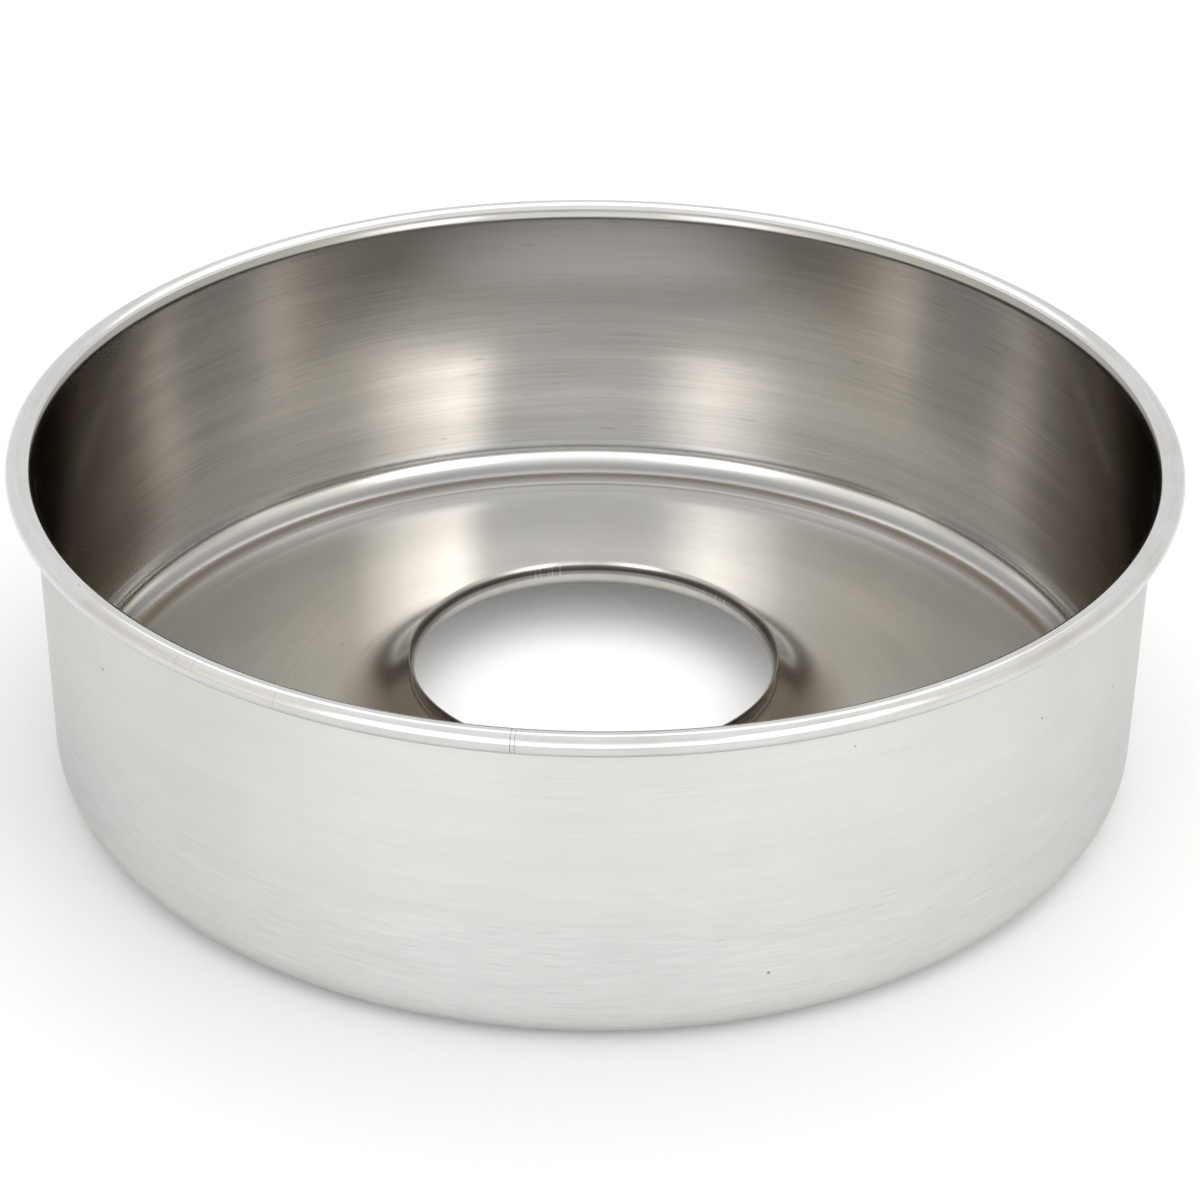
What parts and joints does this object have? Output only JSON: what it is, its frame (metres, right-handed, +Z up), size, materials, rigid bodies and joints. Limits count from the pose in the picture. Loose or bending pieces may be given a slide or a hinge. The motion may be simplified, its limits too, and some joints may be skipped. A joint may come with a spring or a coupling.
{
  "type": "candy floss machine bowl",
  "caption": "Wide round stainless bowl with an upright wall, a hollow rolled rim and an open flared neck in its raised floor, for catching spun sugar round a spinner head.",
  "frame": {"origin": "on the bowl's axis, in the plane of the foot ring that stands on the counter", "axes": "+Z up along the axis, out of the open mouth; -Y is the side that faces the viewer"},
  "size_m": [0.52, 0.52, 0.154],
  "materials": {
    "hoop_steel": "brushed round the wall, bright roll",
    "pan_steel": "brushed round the axis, coarser upstand",
    "weld_steel": "ground flush and brushed"
  },
  "bodies": {
    "root": {"wall_hoop": "hoop_steel", "wall_seam_weld": "weld_steel", "base_pan": "pan_steel", "base_seam_weld": "weld_steel"}
  },
  "joints": []
}
